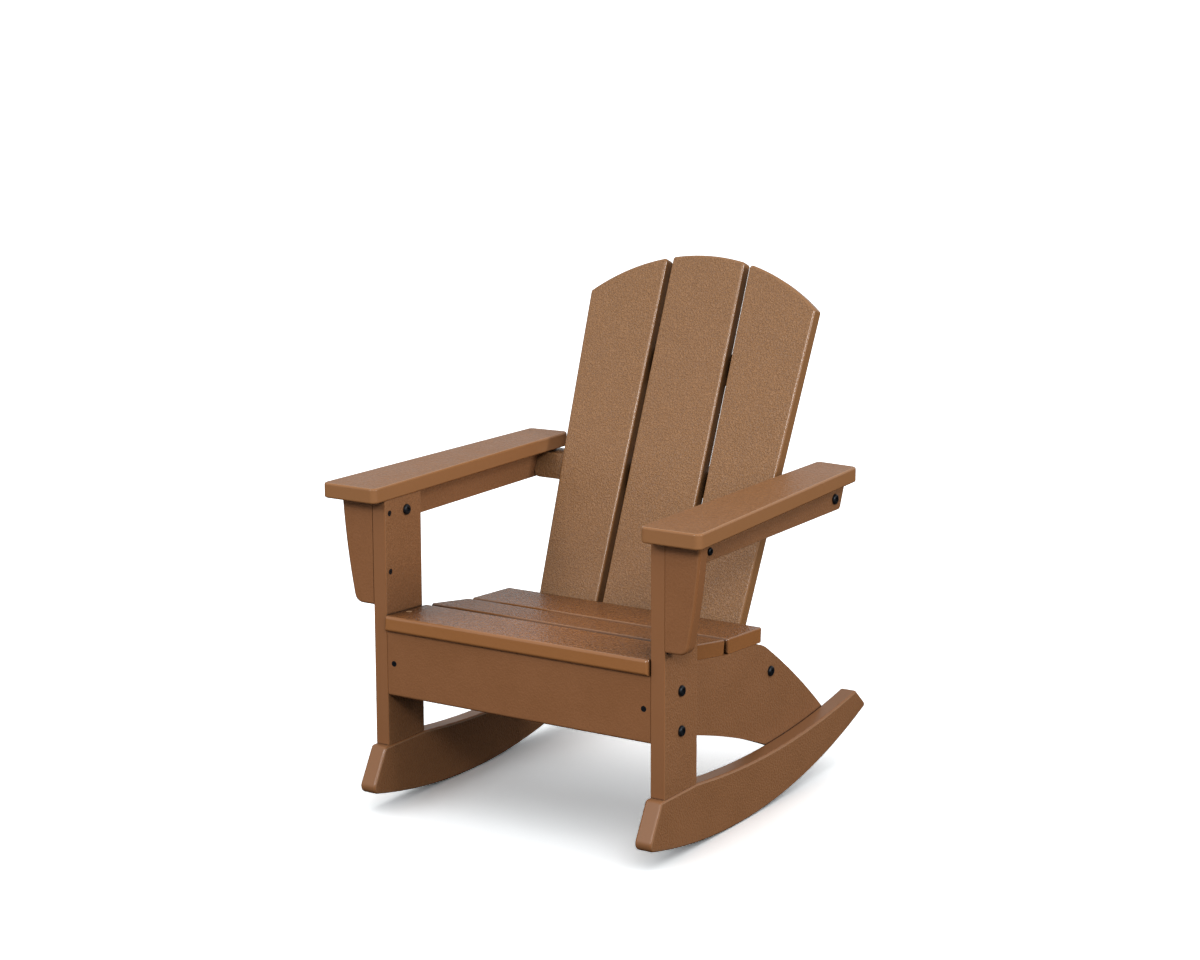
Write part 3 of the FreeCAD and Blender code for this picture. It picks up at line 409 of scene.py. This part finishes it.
class BoardSettings(bpy.types.PropertyGroup):
    """How the plastic lumber looks."""

    colour: FloatVectorProperty(
        name="Brown", description="Colour of the boards", subtype="COLOR",
        default=(0.25, 0.105, 0.0415), min=0.0, max=1.0)
    pebble_width: FloatProperty(
        name="Pebble Width", description="Width of one lump of the pebbled face",
        default=2.5 * MM, min=0.2 * MM, unit="LENGTH")
    pebble_height: FloatProperty(
        name="Pebble Height", description="Height of the lumps",
        default=0.3 * MM, min=0.0, unit="LENGTH")
    hollow_shade: FloatProperty(
        name="Hollow Shade", description="How much darker the hollows are",
        default=0.22, min=0.0, max=1.0, subtype="FACTOR")
    cloud_width: FloatProperty(
        name="Cloud Width", description="Width of the faint lighter and darker areas",
        default=60.0 * MM, min=1.0 * MM, unit="LENGTH")
    speck_width: FloatProperty(
        name="Speck Width", description="Width of one pale speck of the pebbled face",
        default=1.9 * MM, min=0.2 * MM, unit="LENGTH")
    # painted glints: the pale specks stand in for sheen on the pebbles
    speck_glint_strength: FloatProperty(
        name="Speck Strength", description="How much paler the specks are",
        default=0.2, min=0.0, max=1.0, subtype="FACTOR")
    # painted highlight: the pale brown on the rounded edges' shoulders, and below how strong
    # it is
    edge_highlight_colour: FloatVectorProperty(
        name="Edge", description="Colour of the rubbed edges", subtype="COLOR",
        default=(0.46, 0.29, 0.175), min=0.0, max=1.0)
    edge_highlight: FloatProperty(
        name="Edge Wear", description="How far the rounded edges are rubbed",
        default=0.3, min=0.0, max=1.0, subtype="FACTOR")
    edge_shine: FloatProperty(
        name="Edge Shine", description="How much smoother the rounded edges are",
        default=0.2, min=0.0, max=0.3, subtype="FACTOR")
    # painted shade in the seams between boards: how far it reaches, and below how dark it is
    painted_seam_reach: FloatProperty(
        name="Seam Reach", description="How far from a seam its dark line reaches",
        default=3.0 * MM, min=0.5 * MM, unit="LENGTH")
    seam_shade: FloatProperty(
        name="Seam Shade", description="How dark the seams between boards are",
        default=0.9, min=0.0, max=1.0, subtype="FACTOR")
    corner_reach: FloatProperty(
        name="Corner Reach", description="How far the soft shade of a corner reaches",
        default=200.0 * MM, min=1.0 * MM, unit="LENGTH")
    roughness: FloatProperty(
        name="Roughness", description="Roughness of the wide faces",
        default=0.4, min=0.0, max=1.0, subtype="FACTOR")
    gloss: FloatProperty(
        name="Gloss", description="Strength of the reflection",
        default=0.36, min=0.0, max=1.0, subtype="FACTOR")


class FastenerSettings(bpy.types.PropertyGroup):
    """How the bolts, the screws and the plugs in the seat look."""

    colour: FloatVectorProperty(
        name="Black", description="Colour of the coating", subtype="COLOR",
        default=(0.012, 0.015, 0.02), min=0.0, max=1.0)
    rubbed_colour: FloatVectorProperty(
        name="Rubbed Black", description="Colour where the coating is rubbed",
        subtype="COLOR", default=(0.05, 0.06, 0.075), min=0.0, max=1.0)
    roughness: FloatProperty(
        name="Roughness", description="Roughness of the coating and the plugs",
        default=0.34, min=0.0, max=1.0, subtype="FACTOR")
    scratch_width: FloatProperty(
        name="Scratch Width", description="Width of the faint scratches",
        default=1.1 * MM, min=0.1 * MM, unit="LENGTH")
    scratch_depth: FloatProperty(
        name="Scratch Depth", description="Depth of the faint scratches",
        default=0.06 * MM, min=0.0, unit="LENGTH")
    plug_colour: FloatVectorProperty(
        name="Plug", description="Colour of the plugs in the seat", subtype="COLOR",
        default=(0.4, 0.25, 0.14), min=0.0, max=1.0)
    plug_grain_width: FloatProperty(
        name="Plug Grain Width", description="Width of the grain of the plugs",
        default=0.8 * MM, min=0.1 * MM, unit="LENGTH")
    plug_grain_height: FloatProperty(
        name="Plug Grain Height", description="Height of the grain of the plugs",
        default=0.05 * MM, min=0.0, unit="LENGTH")


class StudioSettings(bpy.types.PropertyGroup):
    """The floor, the lights and the camera."""

    floor_colour: FloatVectorProperty(
        name="Floor", description="Colour of the floor", subtype="COLOR",
        default=(2.04, 2.09, 2.12), min=0.0, max=3.0)
    floor_bounce: FloatProperty(
        name="Floor Bounce", description="Grey of the floor as the chair sees it",
        default=0.02, min=0.0, max=1.0, subtype="FACTOR")
    floor_reach: FloatProperty(
        name="Floor Reach", description="Half width of the floor",
        default=30.0, min=1.0, unit="LENGTH")
    contact_reach: FloatProperty(
        name="Contact Reach", description="How far the shade under the rockers reaches",
        default=100.0 * MM, min=1.0 * MM, unit="LENGTH")
    contact_shade: FloatProperty(
        name="Contact Shade", description="Light left on the floor under the rockers",
        default=0.75, min=0.0, max=1.0, subtype="FACTOR")
    dome_strength: FloatProperty(
        name="Dome", description="Strength of the light from all round",
        default=0.85, min=0.0)
    dome_gloss: FloatProperty(
        name="Dome Gloss", description="Share of that light in reflections",
        default=0.76, min=0.0, max=1.0, subtype="FACTOR")
    backdrop: FloatProperty(
        name="Backdrop", description="Brightness of the background", default=1.1, min=0.0)
    front_power: FloatProperty(
        name="Front Lights", description="Power of each of the two lights in front",
        default=41.0, min=0.0, unit="POWER")
    side_power: FloatProperty(
        name="Side Light", description="Power of the light on the right",
        default=52.0, min=0.0, unit="POWER")
    camera_place: FloatVectorProperty(
        name="Camera Place", description="Where the camera stands",
        default=(1.73715, -2.80048, 1.09214), subtype="TRANSLATION", unit="LENGTH")
    camera_turn: FloatProperty(
        name="Camera Turn", description="Turn of the view to the chair's right",
        default=math.radians(32.748), subtype="ANGLE")
    camera_lift: FloatProperty(
        name="Camera Lift", description="How far the view looks down",
        default=math.radians(11.838), subtype="ANGLE")
    camera_roll: FloatProperty(
        name="Camera Roll", description="Roll about the view",
        default=math.radians(-0.208), subtype="ANGLE")
    lens: FloatProperty(
        name="Lens", description="Focal length in millimetres", default=81.8, min=1.0)
    middle: FloatVectorProperty(
        name="Middle of View", description="Pixel that the camera points at",
        default=(576.8, 470.25), size=2)


class CHAIR_OT_finish_rockers(bpy.types.Operator):
    """Give the two rockers their finish"""

    bl_idname = "chair.finish_rockers"
    bl_label = "Finish Rockers"

    def execute(self, context):
        dress_boards(context, pair("rocker"), "rocker_board", ROCKER)
        return {"FINISHED"}


class CHAIR_OT_finish_legs(bpy.types.Operator):
    """Give the front legs and the seat's side panels their finish"""

    bl_idname = "chair.finish_legs"
    bl_label = "Finish Legs and Sides"

    def execute(self, context):
        dress_boards(context, pair("front_leg") + pair("side_panel"), "side_board", SIDE)
        return {"FINISHED"}


class CHAIR_OT_finish_front(bpy.types.Operator):
    """Give the apron and the arm brackets their finish"""

    bl_idname = "chair.finish_front"
    bl_label = "Finish Apron and Brackets"

    def execute(self, context):
        dress_boards(context, ["front_apron"] + pair("arm_bracket"), "front_board", FRONT)
        return {"FINISHED"}


class CHAIR_OT_finish_seat(bpy.types.Operator):
    """Give the three seat slats their finish"""

    bl_idname = "chair.finish_seat"
    bl_label = "Finish Seat"

    def execute(self, context):
        for slat, kind in SEAT_SLATS.items():
            dress_boards(context, ["seat_slat_" + slat], "seat_board_" + slat, kind)
        return {"FINISHED"}


class CHAIR_OT_finish_back(bpy.types.Operator):
    """Give the back slats and the braces behind them their finish"""

    bl_idname = "chair.finish_back"
    bl_label = "Finish Back"

    def execute(self, context):
        slats = ["back_slat_center"] + pair("back_slat")
        braces = ["upper_back_brace", "arm_back_brace", "lower_back_brace"]
        dress_boards(context, slats + braces, "back_board", BACK)
        return {"FINISHED"}


class CHAIR_OT_finish_arms(bpy.types.Operator):
    """Give the arms and the rails under them their finish"""

    bl_idname = "chair.finish_arms"
    bl_label = "Finish Arms"

    def execute(self, context):
        dress_boards(context, pair("arm"), "arm_board", ARM)
        dress_boards(context, pair("arm_rail"), "rail_board", RAIL)
        return {"FINISHED"}


class CHAIR_OT_finish_fasteners(bpy.types.Operator):
    """Give the bolts, the screws and the plugs in the seat their finish"""

    bl_idname = "chair.finish_fasteners"
    bl_label = "Finish Bolts and Screws"

    def execute(self, context):
        settings = context.scene.chair_fasteners
        fasteners = [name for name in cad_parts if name.endswith(("bolts", "screws"))]
        dress(fasteners, fastener_finish("black_coating", settings))
        dress(["seat_screws"], plug_finish("plug_brown", settings))
        return {"FINISHED"}


def add_floor(settings):
    reach = settings.floor_reach
    mesh = bpy.data.meshes.new("studio_floor")
    corners = [(-reach, -reach, 0), (reach, -reach, 0), (reach, reach, 0),
               (-reach, reach, 0)]
    mesh.from_pydata(corners, [], [(0, 1, 2, 3)])
    floor = bpy.data.objects.new("studio_floor", mesh)
    bpy.context.scene.collection.objects.link(floor)
    mesh.materials.append(floor_finish("studio_floor", settings))
    return floor


def add_dome(settings):
    """White all round: one strength as light, one in reflections, one as background."""
    world = bpy.data.worlds.new("studio_dome")
    dome = Nodes(world)
    glossy = dome.node("LightPath", output="Is Glossy Ray")
    strength = dome.node("MapRange", sockets={
        "Value": glossy, "To Min": settings.dome_strength,
        "To Max": settings.dome_strength * settings.dome_gloss})
    light = dome.node("Background", sockets={
        "Color": with_alpha(WHITE), "Strength": strength})
    backdrop = dome.node("Background", sockets={
        "Color": with_alpha(WHITE), "Strength": settings.backdrop})
    seen = dome.node("LightPath", output="Is Camera Ray")
    dome.node("OutputWorld", sockets={"Surface": dome.mix_shaders(seen, light, backdrop)})
    bpy.context.scene.world = world


def add_light(name, place, width, power, floor):
    """A soft light on the chair alone, so the floor keeps only the dome's soft shade."""
    data = bpy.data.lights.new(name, "AREA")
    data.shape = "SQUARE"
    data.size = width
    data.energy = power
    lamp = bpy.data.objects.new(name, data)
    lamp.location = place
    look = Vector(LIGHT_TARGET) - Vector(place)
    lamp.rotation_euler = look.to_track_quat("-Z", "Y").to_euler()
    bpy.context.scene.collection.objects.link(lamp)
    kept_off = bpy.data.collections.new(name + "_kept_off")
    kept_off.objects.link(floor)
    kept_off.collection_objects[0].light_linking.link_state = "EXCLUDE"
    lamp.light_linking.receiver_collection = kept_off


def add_lights(settings, floor):
    for name, place in FRONT_LIGHT_PLACES.items():
        add_light(name, place, FRONT_LIGHT_WIDTH, settings.front_power, floor)
    add_light("side_light", SIDE_LIGHT_PLACE, SIDE_LIGHT_WIDTH, settings.side_power, floor)


def add_camera(settings):
    """The camera at the height and distance that the view was taken from."""
    turn, lift, roll = settings.camera_turn, settings.camera_lift, settings.camera_roll
    back = Vector((math.sin(turn) * math.cos(lift), -math.cos(turn) * math.cos(lift),
                   math.sin(lift)))
    right = Vector(UPWARD).cross(back).normalized()
    up = back.cross(right)
    rolled_right = right * math.cos(roll) + up * math.sin(roll)
    rolled_up = up * math.cos(roll) - right * math.sin(roll)
    data = bpy.data.cameras.new("chair_camera")
    data.sensor_width = SENSOR_WIDTH
    data.lens = settings.lens
    data.shift_x = (PICTURE_WIDTH / 2 - settings.middle[0]) / PICTURE_WIDTH
    data.shift_y = (settings.middle[1] - PICTURE_HEIGHT / 2) / PICTURE_WIDTH
    data.clip_end = FAR_CLIP
    camera = bpy.data.objects.new("chair_camera", data)
    axes = Matrix((rolled_right, rolled_up, back)).transposed().to_4x4()
    camera.matrix_world = Matrix.Translation(settings.camera_place) @ axes
    bpy.context.scene.collection.objects.link(camera)
    bpy.context.scene.camera = camera


class CHAIR_OT_set_studio(bpy.types.Operator):
    """Set up the floor, the lights and the camera"""

    bl_idname = "chair.set_studio"
    bl_label = "Set Up Studio"

    def execute(self, context):
        settings = context.scene.chair_studio
        context.scene.view_settings.view_transform = "Standard"
        floor = add_floor(settings)
        add_dome(settings)
        add_lights(settings, floor)
        add_camera(settings)
        return {"FINISHED"}


OPERATORS = (
    CHAIR_OT_finish_rockers,
    CHAIR_OT_finish_legs,
    CHAIR_OT_finish_front,
    CHAIR_OT_finish_seat,
    CHAIR_OT_finish_back,
    CHAIR_OT_finish_arms,
    CHAIR_OT_finish_fasteners,
    CHAIR_OT_set_studio,
)


class CHAIR_PT_panel(bpy.types.Panel):
    """The chair's settings, and one button for each finish and the studio"""

    bl_label = "Rocking Chair"
    bl_idname = "CHAIR_PT_panel"
    bl_space_type = "VIEW_3D"
    bl_region_type = "UI"
    bl_category = "Chair"

    def draw(self, context):
        scene = context.scene
        for group in (scene.chair_boards, scene.chair_fasteners, scene.chair_studio):
            box = self.layout.box()
            for name in group.__annotations__:
                box.prop(group, name)
        for operator in OPERATORS:
            self.layout.operator(operator.bl_idname)


CLASSES = (BoardSettings, FastenerSettings, StudioSettings, *OPERATORS, CHAIR_PT_panel)


def register():
    for item in CLASSES:
        bpy.utils.register_class(item)
    bpy.types.Scene.chair_boards = PointerProperty(type=BoardSettings)
    bpy.types.Scene.chair_fasteners = PointerProperty(type=FastenerSettings)
    bpy.types.Scene.chair_studio = PointerProperty(type=StudioSettings)


def unregister():
    del bpy.types.Scene.chair_studio
    del bpy.types.Scene.chair_fasteners
    del bpy.types.Scene.chair_boards
    for item in reversed(CLASSES):
        bpy.utils.unregister_class(item)


def main():
    register()
    bpy.ops.chair.finish_rockers()
    bpy.ops.chair.finish_legs()
    bpy.ops.chair.finish_front()
    bpy.ops.chair.finish_seat()
    bpy.ops.chair.finish_back()
    bpy.ops.chair.finish_arms()
    bpy.ops.chair.finish_fasteners()
    bpy.ops.chair.set_studio()


if __name__ == "__main__":
    main()
